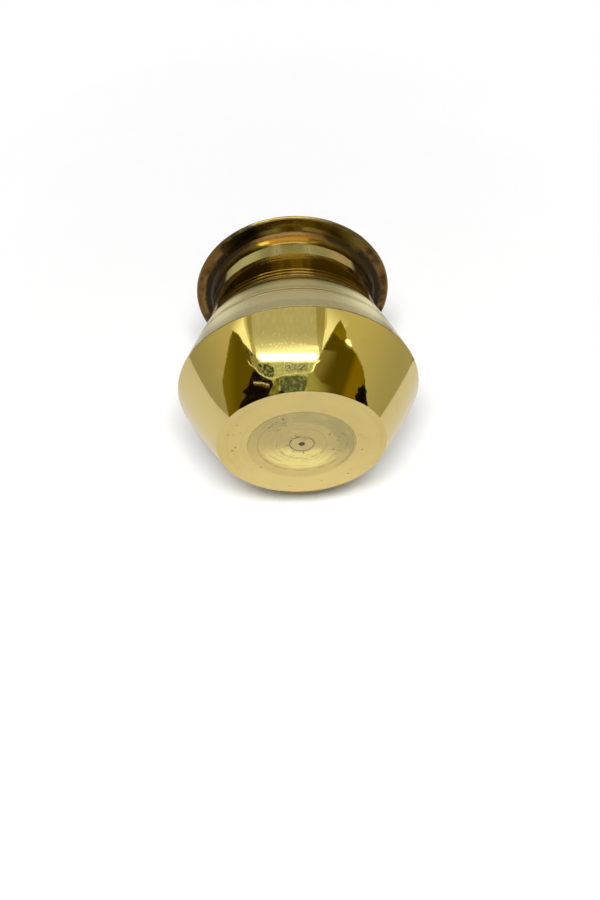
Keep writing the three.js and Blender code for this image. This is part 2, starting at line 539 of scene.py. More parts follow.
    def _chatter(self, tree: NodeTree, surface: Surface) -> Socket:
        """Fine upright marks where the tool shook, in patches.

        Args:
            tree: The material's nodes.
            surface: The places that they follow.

        Returns:
            Their relief, from 0 to 1.
        """
        along = tree.product(surface.azimuth, self.CHATTER_ALONG)
        upright = tree.combine(along, tree.product(surface.run, self.CHATTER_ACROSS))
        patches = tree.noise(surface.place, self.CHATTER_PATCH_SCALE, 2.0)
        return tree.product(tree.noise(upright, 1.0, 1.0), tree.ramp(patches, *self.CHATTER_PATCH_EDGE))

    def _pit_mask(self, tree: NodeTree, surface: Surface) -> Socket:
        """Small pits at named places, with uneven edges.

        Args:
            tree: The material's nodes.
            surface: The places that it reads.

        Returns:
            A value that is 1 in a pit.
        """
        nearest: object = 1.0
        for (x, y), radius in self.pits:
            gap = tree.measure("DISTANCE", surface.place, Vector((x, y, 0.0)))
            nearest = tree.math("MINIMUM", nearest, tree.less(gap, radius))
        uneven = tree.less(tree.noise(surface.place, self.PIT_SCALE, 3.0), 0.5)
        edge = tree.total(nearest, tree.product(uneven, self.PIT_RAGGED))
        return tree.ramp(edge, self.PIT_SOFT, -self.PIT_SOFT)


class Outline:
    """The closed outline of a turned piece, as points of radius and height."""

    MOST_STEPS = 60
    MOST_CUT = 0.3

    def __init__(self, source: bpy.types.Object) -> None:
        """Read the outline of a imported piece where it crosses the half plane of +X.

        Args:
            source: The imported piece, whose mesh is only read.
        """
        work = bmesh.new()
        work.from_mesh(source.data)
        bmesh.ops.remove_doubles(work, verts=work.verts, dist=WELD)
        self.points = self._walk(work)
        work.free()

    @staticmethod
    def _walk(work: bmesh.types.BMesh) -> list[Point]:
        """Walk the edges that lie in the half plane.

        Args:
            work: The piece's mesh.

        Returns:
            The points in order, from axis to axis or once round, from the lowest outer one.
        """
        near = 2 * WELD
        inside = {v for v in work.verts if abs(v.co.y) < near and v.co.x > -near}
        steps: dict[bmesh.types.BMVert, list[bmesh.types.BMVert]] = {v: [] for v in inside}
        for edge in work.edges:
            first, second = edge.verts
            same = abs(first.co.x - second.co.x) < near and abs(first.co.z - second.co.z) < near
            on_axis = all(abs(v.co.x) < near for v in edge.verts)
            if first in inside and second in inside and not same and not on_axis:
                steps[first].append(second)
                steps[second].append(first)
        ends = [v for v in inside if len(steps[v]) == 1]
        start = min(ends or inside, key=lambda v: (v.co.z, -v.co.x))
        walk = [start]
        onward = max(steps[start], key=lambda v: (v.co.x, -v.co.z))
        while onward is not None and onward is not start:
            walk.append(onward)
            left = [v for v in steps[onward] if v is not walk[-2]]
            onward = left[0] if left else None
        return [(max(v.co.x, 0.0), v.co.z) for v in walk]

    @property
    def closed(self) -> bool:
        """Whether the outline goes once round, rather than from axis to axis."""
        return self.points[0][0] > WELD

    def rise(self) -> list[Point]:
        """The points from the first one to the widest."""
        widest = max(range(len(self.points)), key=lambda i: (round(self.points[i][0], 6), -i))
        return self.points[: widest + 1]

    def refined(self, bevel: float, step: float) -> list[Point]:
        """Round the corners a little and smooth the stretches between them.

        Args:
            bevel: The width of the small flat at each corner.
            step: The length of a step along a curved stretch.

        Returns:
            The finer outline.
        """
        count = len(self.points)
        sharp = [self._turn(i) > SHARP_CORNER for i in range(count)]
        fine: list[Point] = []
        for i in range(count if self.closed else count - 1):
            before, here, after, beyond = (self.points[(i + k) % count] for k in (-1, 0, 1, 2))
            if (not self.closed and i == 0) or sharp[i]:
                before = here
            if sharp[(i + 1) % count] or (not self.closed and i == count - 2):
                beyond = after
            cuts = (bevel if sharp[i] else 0.0, bevel if sharp[(i + 1) % count] else 0.0)
            fine.extend(self._stretch((before, here, after, beyond), cuts, step))
        if not self.closed:
            fine.append(self.points[-1])
        return fine

    def _turn(self, i: int) -> float:
        """The angle by which the outline turns at a point.

        Args:
            i: Which point.

        Returns:
            The angle in radians, which is 0 at an end.
        """
        count = len(self.points)
        if not self.closed and i in (0, count - 1):
            return 0.0
        back, here, on = (Vector(self.points[(i + k) % count]) for k in (-1, 0, 1))
        return (here - back).angle(on - here, 0.0)

    @classmethod
    def _stretch(cls, around: tuple[Point, ...], cuts: Point, step: float) -> list[Point]:
        """Points of one smooth stretch, short of a bevelled corner at either end.

        Args:
            around: The point before the stretch, its two ends and the point after it.
            cuts: How much is cut off at its start and its end.
            step: The length of a step.

        Returns:
            The points, without the one where the next stretch starts.
        """
        p0, p1, p2, p3 = (Vector(p) for p in around)
        length = (p2 - p1).length
        straight = p0 == p1 and p3 == p2
        steps = 1 if straight else max(1, min(cls.MOST_STEPS, round(length / step)))
        m1 = (p2 - p0) * length / max((p1 - p0).length + length, WELD) if p0 != p1 else p2 - p1
        m2 = (p3 - p1) * length / max((p3 - p2).length + length, WELD) if p3 != p2 else p2 - p1
        if p0 == p1 and p3 != p2:
            m1 = 2 * (p2 - p1) - m2
        if p3 == p2 and p0 != p1:
            m2 = 2 * (p2 - p1) - m1
        start, end = (min(cut / length, cls.MOST_CUT) for cut in cuts)
        end = 1.0 - end
        made = []
        for k in range(steps + (1 if cuts[1] > 0.0 else 0)):
            t = start + (end - start) * k / steps
            a, b = 2 * t**3 - 3 * t**2 + 1, t**3 - 2 * t**2 + t
            c, d = 3 * t**2 - 2 * t**3, t**3 - t**2
            point = a * p1 + b * m1 + c * p2 + d * m2
            made.append((point.x, point.y))
        return made


@dataclass(frozen=True)
class RaggedSeam:
    """An uneven line round the axis, where spelter ran into the metal on both sides.

    Fractal is the noise's falloff, its step between octaves and their number.
    """

    radius: float
    reach: float = 0.7 * MM
    depth: float = 0.30 * MM
    waves: float = 3.4
    steepness: float = 1.4
    fractal: tuple[float, float, int] = (0.6, 2.0, 4)

    def apply(self, work: bmesh.types.BMesh) -> None:
        """Move the points near the seam in or out, alike on every piece that meets there.

        Args:
            work: The piece's mesh.
        """
        for vert in work.verts:
            flat = level(vert.co)
            near = 1.0 - abs(flat.length - self.radius) / self.reach
            if near > 0.0:
                way = flat.normalized()
                shift = noise.fractal(way * self.waves, *self.fractal)
                vert.co += way * (self.depth * min(1.0, self.steepness * near) * shift)


@dataclass
class TurnedPiece:
    """A piece that is one outline spun about the pot's axis, with one finish outside and one inside."""

    INWARD = -0.02
    LEVEL = 0.9

    node: str
    slot: str
    outside: BrassFinish
    inside: BrassFinish
    bevel: float = 0.06 * MM
    step: float = 0.45 * MM
    seam: RaggedSeam | None = None

    def finishes(self) -> tuple[BrassFinish, ...]:
        """The finishes in the order of the piece's slots."""
        return (self.outside, self.inside)

    def finish_of(self, centre: Vector, normal: Vector) -> int:
        """Which finish a face takes: the inner one where it looks towards the axis or up."""
        inward = normal.dot(level(centre)) < self.INWARD * level(centre).length
        return 1 if inward or normal.z > self.LEVEL else 0

    def build(self, source: bpy.types.Object) -> None:
        """Spin the outline into a closed mesh at the origin and dress it.

        Args:
            source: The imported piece.
        """
        points = Outline(source).refined(self.bevel, self.step)
        on_axis = points[0][0] < WELD
        work = bmesh.new()
        verts = [work.verts.new((radius, 0.0, height)) for radius, height in points]
        pairs = list(zip(verts, verts[1:])) + ([] if on_axis else [(verts[-1], verts[0])])
        edges = [work.edges.new(pair) for pair in pairs]
        bmesh.ops.spin(
            work,
            geom=verts + edges,
            cent=(0.0, 0.0, 0.0),
            axis=UP,
            angle=math.tau,
            steps=SPIN_STEPS,
            use_merge=True,
        )
        bmesh.ops.remove_doubles(work, verts=work.verts, dist=WELD)
        if self.seam is not None:
            self.seam.apply(work)
        bmesh.ops.recalc_face_normals(work, faces=work.faces)
        for face in work.faces:
            face.material_index = self.finish_of(face.calc_center_median(), face.normal)
        piece = new_object(self.node + "_turned", work)
        piece.data.shade_smooth()
        piece.data.set_sharp_from_angle(angle=SHARP_CORNER)
        self.dress(piece)

    def dress(self, piece: bpy.types.Object) -> None:
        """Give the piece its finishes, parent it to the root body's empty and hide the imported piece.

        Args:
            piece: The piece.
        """
        for finish in self.finishes():
            piece.data.materials.append(finish.material())
        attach(piece, "root")
        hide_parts(self.node)
        LOG.info("%s: %d faces", piece.name, len(piece.data.polygons))


@dataclass
class LowerBowl(TurnedPiece):
    """The cone-shaped lower half, with a finish of its own under the foot."""

    FOOT_TOP = 1.0 * MM

    foot: BrassFinish | None = None

    def finishes(self) -> tuple[BrassFinish, ...]:
        """The flank, the inside and the foot."""
        return (self.outside, self.inside, self.foot)

    def finish_of(self, centre: Vector, normal: Vector) -> int:
        """The foot's finish where a face looks down under the pot."""
        under = normal.z < -self.LEVEL and centre.z < self.FOOT_TOP
        return 2 if under else super().finish_of(centre, normal)


@dataclass(frozen=True)
class PhotoCamera:
    """The photograph's viewpoint, below the foot of the upright pot."""

    elevation_deg: float = -35.464
    roll_deg: float = 3.364
    distance: float = 221.43 * MM
    aim_across: float = 0.586 * MM
    aim_up: float = 1.154 * MM
    lens_mm: float = 29.9
    clip_start: float = 10 * MM

    @property
    def axes(self) -> tuple[Vector, Vector, Vector]:
        """Its directions to the right, up and back."""
        lift = math.radians(self.elevation_deg)
        roll = math.radians(self.roll_deg)
        back = Vector((0.0, -math.cos(lift), math.sin(lift)))
        up = Vector((0.0, math.sin(lift), math.cos(lift)))
        across = math.cos(roll) * RIGHT - math.sin(roll) * up
        upward = math.sin(roll) * RIGHT + math.cos(roll) * up
        return across, upward, back

    @property
    def place(self) -> Vector:
        """Where it stands."""
        across, upward, back = self.axes
        return self.distance * back - self.aim_across * across - self.aim_up * upward

    def ray(self, spot: Point) -> Vector:
        """The direction in which it sees a spot of the picture.

        Args:
            spot: The spot, in picture points.

        Returns:
            The direction, of length 1.
        """
        across, upward, back = self.axes
        width, height = PICTURE_SIZE
        focal = self.lens_mm / SENSOR_MM * height
        right = (spot[0] - width / 2) / focal
        up = (height / 2 - spot[1]) / focal
        return (across * right + upward * up - back).normalized()

    def on_foot(self, spot: Point) -> Point:
        """The place on the foot's plane that shows at a spot of the picture.

        Args:
            spot: The spot, in picture points.

        Returns:
            The place.
        """
        ray = self.ray(spot)
        found = self.place - ray * (self.place.z / ray.z)
        return (found.x, found.y)

    def build(self) -> None:
        """Create the camera and make it the scene's own."""
        data = bpy.data.cameras.new("photo_camera")
        data.lens = self.lens_mm
        data.clip_start = self.clip_start
        camera = bpy.data.objects.new("photo_camera", data)
        bpy.context.scene.collection.objects.link(camera)
        turn = Matrix(self.axes).transposed().to_4x4()
        camera.matrix_world = Matrix.Translation(self.place) @ turn
        bpy.context.scene.camera = camera


@dataclass(frozen=True)
class FlankMirror:
    """The bowl's polished flank as a mirror: what each spot of the picture shows in it."""

    camera: PhotoCamera
    foot: Point
    edge: Point
    half_turn: float

    @classmethod
    def of(cls, camera: PhotoCamera, rise: list[Point]) -> FlankMirror:
        """Fit the mirror to the flank's outline.

        Args:
            camera: The camera that looks at it.
            rise: The outline from the foot to the belly edge, a shallow arc.

        Returns:
            The mirror.
        """
        foot, edge = Vector(rise[0]), Vector(rise[-1])
        chord = edge - foot
        square = Vector((chord.y, -chord.x)).normalized()
        crown = max((Vector(point) - foot).dot(square) for point in rise)
        return cls(camera, rise[0], rise[-1], 2 * math.atan(2 * crown / chord.length))

    def shows(self, spot: Point, reach: float) -> Vector:
        """The point of a dome that shows at a spot of the picture.

        Args:
            spot: The spot, in picture points. One past the flank's outline counts as on it.
            reach: The dome's radius.

        Returns:
            The point on the dome.
        """
        ray, eye = self.camera.ray(spot), self.camera.place
        (foot_radius, foot_height), (edge_radius, edge_height) = self.foot, self.edge
        slope = (edge_radius - foot_radius) / (edge_height - foot_height)
        level_radius = foot_radius + slope * (eye.z - foot_height)
        a = ray.x**2 + ray.y**2 - (slope * ray.z) ** 2
        b = eye.x * ray.x + eye.y * ray.y - level_radius * slope * ray.z
        c = eye.x**2 + eye.y**2 - level_radius**2
        met = eye + ray * ((-b - math.sqrt(max(b * b - a * c, 0.0))) / a)
        share = (met.z - foot_height) / (edge_height - foot_height)
        lean = math.atan(slope) + self.half_turn * (1.0 - 2.0 * share)
        normal = level(met).normalized() * math.cos(lean) - UP * math.sin(lean)
        away = ray - 2.0 * ray.dot(normal) * normal
        along = met.dot(away)
        return met + away * (math.sqrt(along**2 - met.length_squared + reach**2) - along)


@dataclass(frozen=True)
class Fade:
    """A change to another colour from one spot of an outline to another."""

    colour: Colour
    start: Point
    end: Point

    def share(self, tree: NodeTree, spot: Socket) -> Socket:
        """Work out how far a spot lies along the way.

        Args:
            tree: The material's nodes.
            spot: The spot.

        Returns:
            The share of the other colour, from 0 to 1.
        """
        start, end = (Vector((x, 0.0, y)) for x, y in (self.start, self.end))
        way = (end - start) / (end - start).length_squared
        return tree.ramp(tree.measure("DOT_PRODUCT", spot, way), start.dot(way), end.dot(way))


@dataclass(frozen=True)
class Mottle:
    """Clouds of another colour, with their size, how much they cover and how far they are drawn up."""

    THINNEST = (0.6, 0.75)
    PER_COVER = (0.2, 0.4)
    DETAIL = 3.0

    colour: Colour
    size: float = 3.0
    cover: float = 0.5
    stretch: float = 1.0

    def share(self, tree: NodeTree, spot: Socket) -> Socket:
        """Work out where the clouds are.

        Args:
            tree: The material's nodes.
            spot: The spot.

        Returns:
            The share of the other colour, from 0 to 1.
        """
        drawn = tree.add("ShaderNodeMapping")
        drawn.inputs["Scale"].default_value = (1.0, 1.0, 1.0 / self.stretch)
        tree.feed(spot, drawn.inputs["Vector"])
        clouds = tree.noise(drawn.outputs["Vector"], 1.0 / self.size, self.DETAIL)
        edges = (thin - per * self.cover for thin, per in zip(self.THINNEST, self.PER_COVER))
        return tree.ramp(clouds, *edges)


@dataclass(frozen=True)
class Card:
    """A glowing card on a wide dome round the pot that shows only in polished metal.

    Reach is the dome's radius. The outline is a few corners as degrees of azimuth and of elevation,
    and the fade, the mottle and the ragged edge are in the same units.
    """

    COARSE_TEAR = 0.3
    FINE_TEAR = 1.4
    FINE_TEAR_SHARE = 0.8

    name: str
    glow: Colour
    reach: float
    outline: tuple[Point, ...]
    fade: Fade | None = None
    mottle: Mottle | None = None
    ragged: float = 0.0
    fineness: int = 3

    def corners(self) -> tuple[Point, ...]:
        """The corners of the card's outline."""
        return self.outline

    def on_dome(self, spot: Point, mirror: FlankMirror) -> Vector:
        """The point of the dome for a spot of the outline.

        Args:
            spot: The spot.
            mirror: Not used.

        Returns:
            The point.
        """
        azimuth, lift = (math.radians(part) for part in spot)
        across = self.reach * math.cos(lift)
        return Vector((across * math.sin(azimuth), -across * math.cos(azimuth), self.reach * math.sin(lift)))

    def build(self, mirror: FlankMirror) -> None:
        """Cut the card's outline, curve it onto the dome and show it to glossy rays only.

        Args:
            mirror: The flank that the card may be placed by.
        """
        work = bmesh.new()
        spots = work.verts.layers.float_vector.new("spot")
        work.faces.new([work.verts.new((x, 0.0, y)) for x, y in self.corners()])
        bmesh.ops.triangulate(work, faces=work.faces)
        for _ in range(self.fineness):
            bmesh.ops.subdivide_edges(work, edges=work.edges, cuts=1, use_grid_fill=True)
        for vert in work.verts:
            if self.ragged:
                torn = noise.noise_vector(vert.co * self.COARSE_TEAR)
                torn += self.FINE_TEAR_SHARE * noise.noise_vector(vert.co * self.FINE_TEAR)
                vert.co += self.ragged * torn
            vert[spots] = vert.co
            vert.co = self.on_dome((vert.co.x, vert.co.z), mirror)
        card = new_object(self.name, work)
        card.data.materials.append(self._material())
        Sees.GLOSSY.limit(card)

    def _material(self) -> bpy.types.Material:
        """Make its glow, with its fade and its mottle.

        Returns:
            The material.
        """
        made, tree = NodeTree.bare(self.name)
        spot = tree.add("ShaderNodeAttribute", attribute_name="spot").outputs["Vector"]
        colour: object = self.glow
        for tint in (self.fade, self.mottle):
            if tint is not None:
                colour = tree.mix(tint.share(tree, spot), colour, tint.colour)
        tree.end(tree.fed("ShaderNodeEmission", colour))
        return made


@dataclass(frozen=True)
class FlankCard(Card):
    """A card whose outline is drawn where the flank shows it, as spots of the picture."""

    def on_dome(self, spot: Point, mirror: FlankMirror) -> Vector:
        """The point of the dome that the flank shows at a spot of the picture."""
        return mirror.shows(spot, self.reach)


@dataclass(frozen=True)
class FlankLine(FlankCard):
    """A thin ribbon that follows a line of spots of the picture."""

    width: float = 1.2

    def corners(self) -> tuple[Point, ...]:
        """The line's two sides, there and back.

        Returns:
            The corners of the ribbon.
        """
        line = [Vector(spot) for spot in self.outline]
        asides = []
        for i in range(len(line)):
            way = line[min(i + 1, len(line) - 1)] - line[max(i - 1, 0)]
            asides.append(Vector((way.y, -way.x)).normalized() * self.width / 2)
        there = [tuple(spot + aside) for spot, aside in zip(line, asides)]
        back = [tuple(spot - aside) for spot, aside in zip(line, asides)]
        return (*there, *reversed(back))


# Tones that several cards share
PANEL = (0.545, 0.55, 0.4)
PANEL_LOW = (0.8, 0.84, 0.64)
LEAF_SHADE = (0.104, 0.079, 0.001)
CEILING = (0.52, 0.5, 0.395)
LEFT_ROOM = (0.63, 0.57, 0.31)
RIGHT_ROOM = (0.66, 0.62, 0.33)
LOW_PALE = (0.7, 0.75, 0.85)

# The panel brightens downwards
PANEL_FADE = Fade(PANEL_LOW, (285, 332), (285, 350))

CARDS = (
    # The room on both sides, and below it what the neck shows by way of the rim
    Card(
        "room_left", LEFT_ROOM, 2.4, box(-130, 0, -44, 46),
        fade=Fade((0.41, 0.4, 0.255), (-48, 0), (-98, 0)), fineness=4,
    ),
    Card(
        "room_right", RIGHT_ROOM, 2.4, box(0, 130, -44, 46),
        fade=Fade((0.45, 0.435, 0.265), (42, 0), (108, 0)), fineness=4,
    ),
    Card(
        "low_left", LOW_PALE, 2.3, box(-130, 0, -44.5, -34),
        fade=Fade((1, 1.05, 1.3), (-10, 0), (-80, 0)), fineness=4,
    ),
    Card(
        "low_right", LOW_PALE, 2.3, box(0, 130, -44.5, -34),
        fade=Fade((1.05, 1.05, 1.15), (10, 0), (80, 0)), fineness=4,
    ),
    Card("low_dark", (0.03, 0.022, 0.006), 2.3, box(-130, 130, -88, -44.5), fineness=5),
    Card(
        "low_gold", (0.21, 0.17, 0.04), 2.25, ((-30, -64), (75, -64), (70, -44.5), (-25, -44.5)),
        mottle=Mottle((0.05, 0.035, 0.008), 11), ragged=2,
    ),
    # The ceiling, the dark soffit over the neck's wall and the pale wall under it
    Card("ceiling", CEILING, 2.5, box(-180, 180, 49, 90), fineness=5),
    Card(
        "ceiling_left", (1.15, 1.12, 0.97), 2.45,
        ((-180, 45), (-158, 46), (-150, 51), (-138, 56.5), (-128, 60), (-102, 69), (-102, 84), (-180, 84)),
        fade=Fade(CEILING, (-128, 0), (-103, 0)), fineness=4,
    ),
    Card(
        "ceiling_right", (1.45, 1.42, 1.22), 2.45,
        ((180, 42), (160, 44), (152, 50), (138, 56.5), (128, 60), (100, 69.5), (100, 84), (180, 84)),
        fade=Fade(CEILING, (136, 0), (103, 0)), fineness=4,
    ),
    Card(
        "dark_soffit", (0.018, 0.012, 0.001), 2.3,
        mirrored(((150, 44), (150, 50.5), (146, 52), (140, 54), (134, 55.8), (126, 58), (118, 60.5),
                  (110, 63), (100, 66), (60, 72))),
        fade=Fade((0.055, 0.034, 0.002), (-40, 0), (60, 0)), fineness=4,
    ),
    Card(
        "gold_soffit", (0.18, 0.13, 0.012), 2.25, ((-36, 60), (36, 60), (32, 72), (-30, 72)),
        mottle=Mottle((0.09, 0.065, 0.008), 9),
    ),
    Card(
        "pale_wall", (0.37, 0.345, 0.205), 2.2, mirrored(((128, 36), (128, 46), (95, 48), (40, 51))),
        fineness=4,
    ),
    Card("low_wall", (0.12, 0.09, 0.028), 2.3, box(-130, 130, 17, 36), fineness=4),
    Card("low_glow", (0.7, 0.43, 0.1), 2.15, ((-27, 18), (22, 19), (24, 38), (-25, 39))),
    Card("low_glow_end", (1.7, 1.5, 0.55), 2.1, ((-38, 18), (-26, 19), (-24, 41), (-36, 41))),
    # What the flank shows, from the farthest to the nearest
    FlankCard(
        "panel_edges", (0.405, 0.37, 0.17), 2.1,
        ((246, 306), (288, 299), (325.8, 299), (325.4, 325), (322.5, 345), (320, 357), (254, 357),
         (251, 340), (247.6, 325)),
        fade=Fade((0.6, 0.58, 0.33), (318, 325), (318, 353)),
    ),
    FlankCard(
        "panel", PANEL, 2.05,
        ((251, 304), (288, 299), (315.8, 299), (316.6, 330), (318, 354), (256.5, 354), (253.8, 340),
         (252, 325)),
        fade=PANEL_FADE, mottle=Mottle((0.6, 0.6, 0.44), 4, stretch=2.5), fineness=4,
    ),
    FlankCard(
        "panel_hatch", PANEL, 2.04, ((285, 300), (312.5, 299), (312.5, 331), (303, 327), (286, 332)),
        fade=PANEL_FADE, mottle=Mottle((0.64, 0.63, 0.45), 0.75, stretch=14),
    ),
    FlankCard(
        "panel_dashes", PANEL, 2.03, ((256, 333), (300, 331), (317, 336), (317.5, 347), (256.5, 349)),
        fade=PANEL_FADE, mottle=Mottle((0.84, 0.84, 0.64), 2.6, 0.26, stretch=0.35),
    ),
    FlankCard(
        "panel_glow", PANEL_LOW, 2.02,
        ((255.5, 346.5), (270, 343.5), (285, 342.5), (300, 344), (318.5, 346), (318.5, 354), (257, 354)),
        fade=Fade((1.8, 1.85, 1.65), (285, 344), (286, 353.5)),
        mottle=Mottle((1.35, 1.35, 1.1), 2, 0.4, stretch=0.6), ragged=1.2, fineness=4,
    ),
    FlankCard(
        "left_wedge", (1.36, 1.38, 1.02), 2,
        ((229.5, 327), (229.5, 318), (243.8, 311), (244.6, 322), (246.8, 331), (249.8, 341), (253.2, 354),
         (246, 348)),
        fade=Fade(LEFT_ROOM, (243, 328), (231, 322)),
    ),
    FlankLine(
        "left_wedge_edge", (0.82, 0.79, 0.48), 1.99,
        ((243.8, 311), (244.8, 322), (247.1, 331), (249.9, 340)),
        width=1.7,
    ),
    FlankCard(
        "right_wedge", (1.27, 1.29, 0.93), 2,
        ((326.2, 299), (353, 304), (351, 322), (338, 335), (330, 345), (321, 357), (322.2, 346),
         (323.6, 336), (325, 328), (325.8, 322)),
        fade=Fade(RIGHT_ROOM, (326.2, 328.8), (342.9, 312.1)),
    ),
    FlankLine(
        "right_wedge_edge", (0.72, 0.68, 0.38), 1.99, ((326.6, 299), (326.2, 321), (325, 329)),
        width=1.7,
    ),
    FlankCard(
        "under_strip", (0.5, 0.56, 0.33), 1.95,
        ((256, 359), (320, 358), (314, 374), (309, 400), (266, 400), (270, 384), (262, 377), (256, 371)),
        mottle=Mottle((0.8, 0.86, 0.52), 2.2, 0.45),
    ),
    FlankCard(
        "under_blot_left", (0.045, 0.055, 0.03), 1.92,
        ((258.6, 363.4), (264, 362.8), (270, 364.2), (273.5, 367), (274.5, 372), (272.5, 377.4), (266, 377),
         (261.5, 373.5), (257.4, 368)),
        mottle=Mottle((0.36, 0.4, 0.25), 2.4, 0.5), ragged=1.1, fineness=4,
    ),
    FlankCard(
        "under_blot_middle", (0.1, 0.12, 0.08), 1.92,
        ((285, 363.6), (292, 362.8), (306.6, 362.8), (306.8, 368), (305.5, 371.3), (286, 371.4)),
        mottle=Mottle((0.95, 1, 0.8), 1.8, 0.5, stretch=0.6), ragged=1.1, fineness=4,
    ),
    FlankCard(
        "under_blot_low", (0.1, 0.13, 0.08), 1.92,
        ((279.8, 376.2), (290, 375.6), (305.8, 375.6), (308.2, 380), (307.6, 385.5), (304.5, 391),
         (303, 400), (281, 400), (280.6, 386)),
        mottle=Mottle((0.27, 0.32, 0.2), 3.4, 0.45), ragged=0.8, fineness=4,
    ),
    FlankCard(
        "gold_gap", (0.3, 0.3, 0.085), 1.68,
        ((276.4, 377.8), (279.8, 378.2), (279.8, 384.5), (278.6, 389), (278, 400), (266, 400), (270.6, 391),
         (272.8, 387), (274.2, 382)),
        mottle=Mottle((0.15, 0.14, 0.03), 4), ragged=0.5,
    ),
    FlankLine(
        "wire_line", (1.15, 1.15, 0.8), 1.6,
        ((248.6, 361), (251, 365), (255, 367.5), (257.5, 370.5), (260.5, 374), (264, 376.3), (267.5, 377.8),
         (274, 378), (280, 376.6), (286.5, 374.8), (293.5, 373.8), (301, 373.4), (308, 372.8),
         (312.3, 371.8)),
        width=0.75, ragged=0.25,
    ),
    FlankLine(
        "bright_line", (2.4, 2.3, 1.7), 1.58,
        ((319.6, 360.6), (316.5, 362.8), (313.8, 365.8), (313.6, 368.5), (311.8, 371.8)),
        width=1, ragged=0.3,
    ),
    FlankCard(
        "left_hollow", (0.4, 0.36, 0.18), 1.91,
        ((248.6, 349), (253, 353.5), (258, 356), (258.5, 361), (258, 368), (252, 366), (248, 361)),
        mottle=Mottle((0.3, 0.29, 0.16), 3),
    ),
    FlankCard(
        "soft_strip", (1.5, 1.5, 1.3), 1.9,
        ((256.4, 352.4), (300, 351.4), (318.6, 350), (319, 357), (316.6, 362.4), (262, 362.4), (257, 358.5)),
        ragged=0.7, fineness=4,
    ),
    FlankCard(
        "white_strip", (3.8, 3.8, 4.4), 1.85,
        ((258.2, 355), (261, 353.8), (300, 353.2), (315.6, 353), (317.4, 355), (317.2, 358.4),
         (314.6, 360.6), (285, 361), (263, 360.6), (259.2, 358.8)),
        ragged=0.4,
    ),
    FlankCard(
        "left_notch", (0.035, 0.04, 0.018), 1.72,
        ((248.4, 348.4), (250.8, 350.3), (253.3, 353.6), (253.8, 356.4), (250.6, 356.2), (248.4, 355.6)),
        mottle=Mottle((0.4, 0.38, 0.18), 1.6, 0.4), ragged=0.4,
    ),
    FlankCard(
        "left_leaf", (0.21, 0.168, 0.012), 1.8,
        ((233.2, 330.3), (234.8, 332.3), (239.4, 335), (241, 337.4), (242.2, 339.8), (243.4, 342.2),
         (245.4, 344.6), (247.6, 346.6), (248.8, 349.2), (248.4, 352.5), (248.2, 357.5), (248.8, 360.6),
         (250.8, 364.2), (254.6, 367.6), (257.6, 369.6), (262, 376), (270, 390), (262, 402), (245, 414),
         (231, 424), (227.9, 411), (226.2, 402), (225.3, 394), (223.9, 387), (223.6, 380), (225, 370),
         (227, 361), (228.4, 352), (229.9, 345), (230.6, 338.5), (231.8, 334.5)),
        fade=Fade((0.132, 0.102, 0.002), (227, 366), (239, 366)), ragged=0.55, fineness=4,
    ),
    FlankCard(
        "left_black", (0.006, 0.004, 0.002), 1.7,
        ((257.2, 369.3), (254.6, 370.6), (252.6, 373), (251.6, 378), (250.9, 384.5), (248.6, 386.8),
         (245.3, 389.2), (242.3, 392.3), (244.8, 393.6), (246.6, 395.2), (245.6, 397.4), (243, 400.5),
         (240.5, 404), (238.5, 411), (262, 404), (278, 397), (284, 393), (283, 390.6), (276, 390.8),
         (271.2, 391.3), (272.8, 387), (273.4, 383.6), (272.6, 380.2), (267.5, 378.6), (263.2, 376.3),
         (259.6, 373.2)),
        mottle=Mottle((0.018, 0.014, 0.006), 5, 0.3), ragged=0.55, fineness=4,
    ),
    FlankLine(
        "left_strand", (1.5, 1.3, 0.75), 1.5,
        ((254, 382.3), (258.5, 382.9), (262.5, 383), (266, 384.2), (269.3, 385.2)),
        width=0.8, ragged=0.3,
    ),
    FlankLine(
        "left_strand_shade", (0.14, 0.11, 0.03), 1.52, ((254.5, 384), (262, 385.2), (270, 387.4)),
        width=1.6, ragged=0.5,
    ),
    FlankCard(
        "right_leaf", LEAF_SHADE, 1.8,
        ((340, 319.6), (337.2, 323.4), (335.2, 326.8), (333.4, 329.6), (332.2, 332.6), (330.6, 336.4),
         (328.4, 340.2), (325.6, 343.4), (324, 346.2), (322.6, 350), (321, 354.6), (319.2, 358.4),
         (316.5, 362.8), (314, 367.5), (312.5, 372), (311, 380), (309.5, 400), (340, 404), (368, 414),
         (364, 392), (363.6, 379), (362.9, 372.5), (361, 366), (358.6, 360), (356.2, 355), (352.9, 350.2),
         (350.3, 346.4), (346.6, 343.2), (345.2, 340.6), (346.2, 337), (345.6, 332), (344, 328),
         (342.2, 324)),
        ragged=0.5, fineness=4,
    ),
    FlankCard(
        "right_leaf_top", (0.255, 0.205, 0.003), 1.78,
        ((340, 319.8), (337.4, 323.4), (335.4, 326.8), (333.6, 329.6), (333.2, 332.6), (336.5, 336.2),
         (340.5, 340.5), (344.6, 340.8), (346, 337), (345.4, 332), (343.8, 328), (342, 324)),
        fade=Fade((0.2, 0.16, 0.003), (341, 336), (337, 322)), ragged=0.5, fineness=4,
    ),
    FlankCard(
        "right_leaf_side", (0.245, 0.172, 0.001), 1.77,
        ((353, 354), (358.6, 360), (361, 366), (362.9, 372.5), (363.6, 379), (362, 385), (360, 402),
         (332, 402), (338, 386), (343, 374), (348, 362)),
        fade=Fade(LEAF_SHADE, (354.5, 372.5), (346.5, 370)), ragged=0.3,
    ),
    FlankLine(
        "right_leaf_edge", (0.34, 0.29, 0.03), 1.76,
        ((350.6, 348.2), (354.2, 352.6), (357.2, 357.8), (360, 363.6)),
        width=1.1, ragged=0.3,
    ),
    FlankLine(
        "right_leaf_ember", (0.5, 0.25, 0.01), 1.74, ((344.6, 342.6), (347, 345.6), (350.6, 348.6)),
        width=1.5, ragged=0.3,
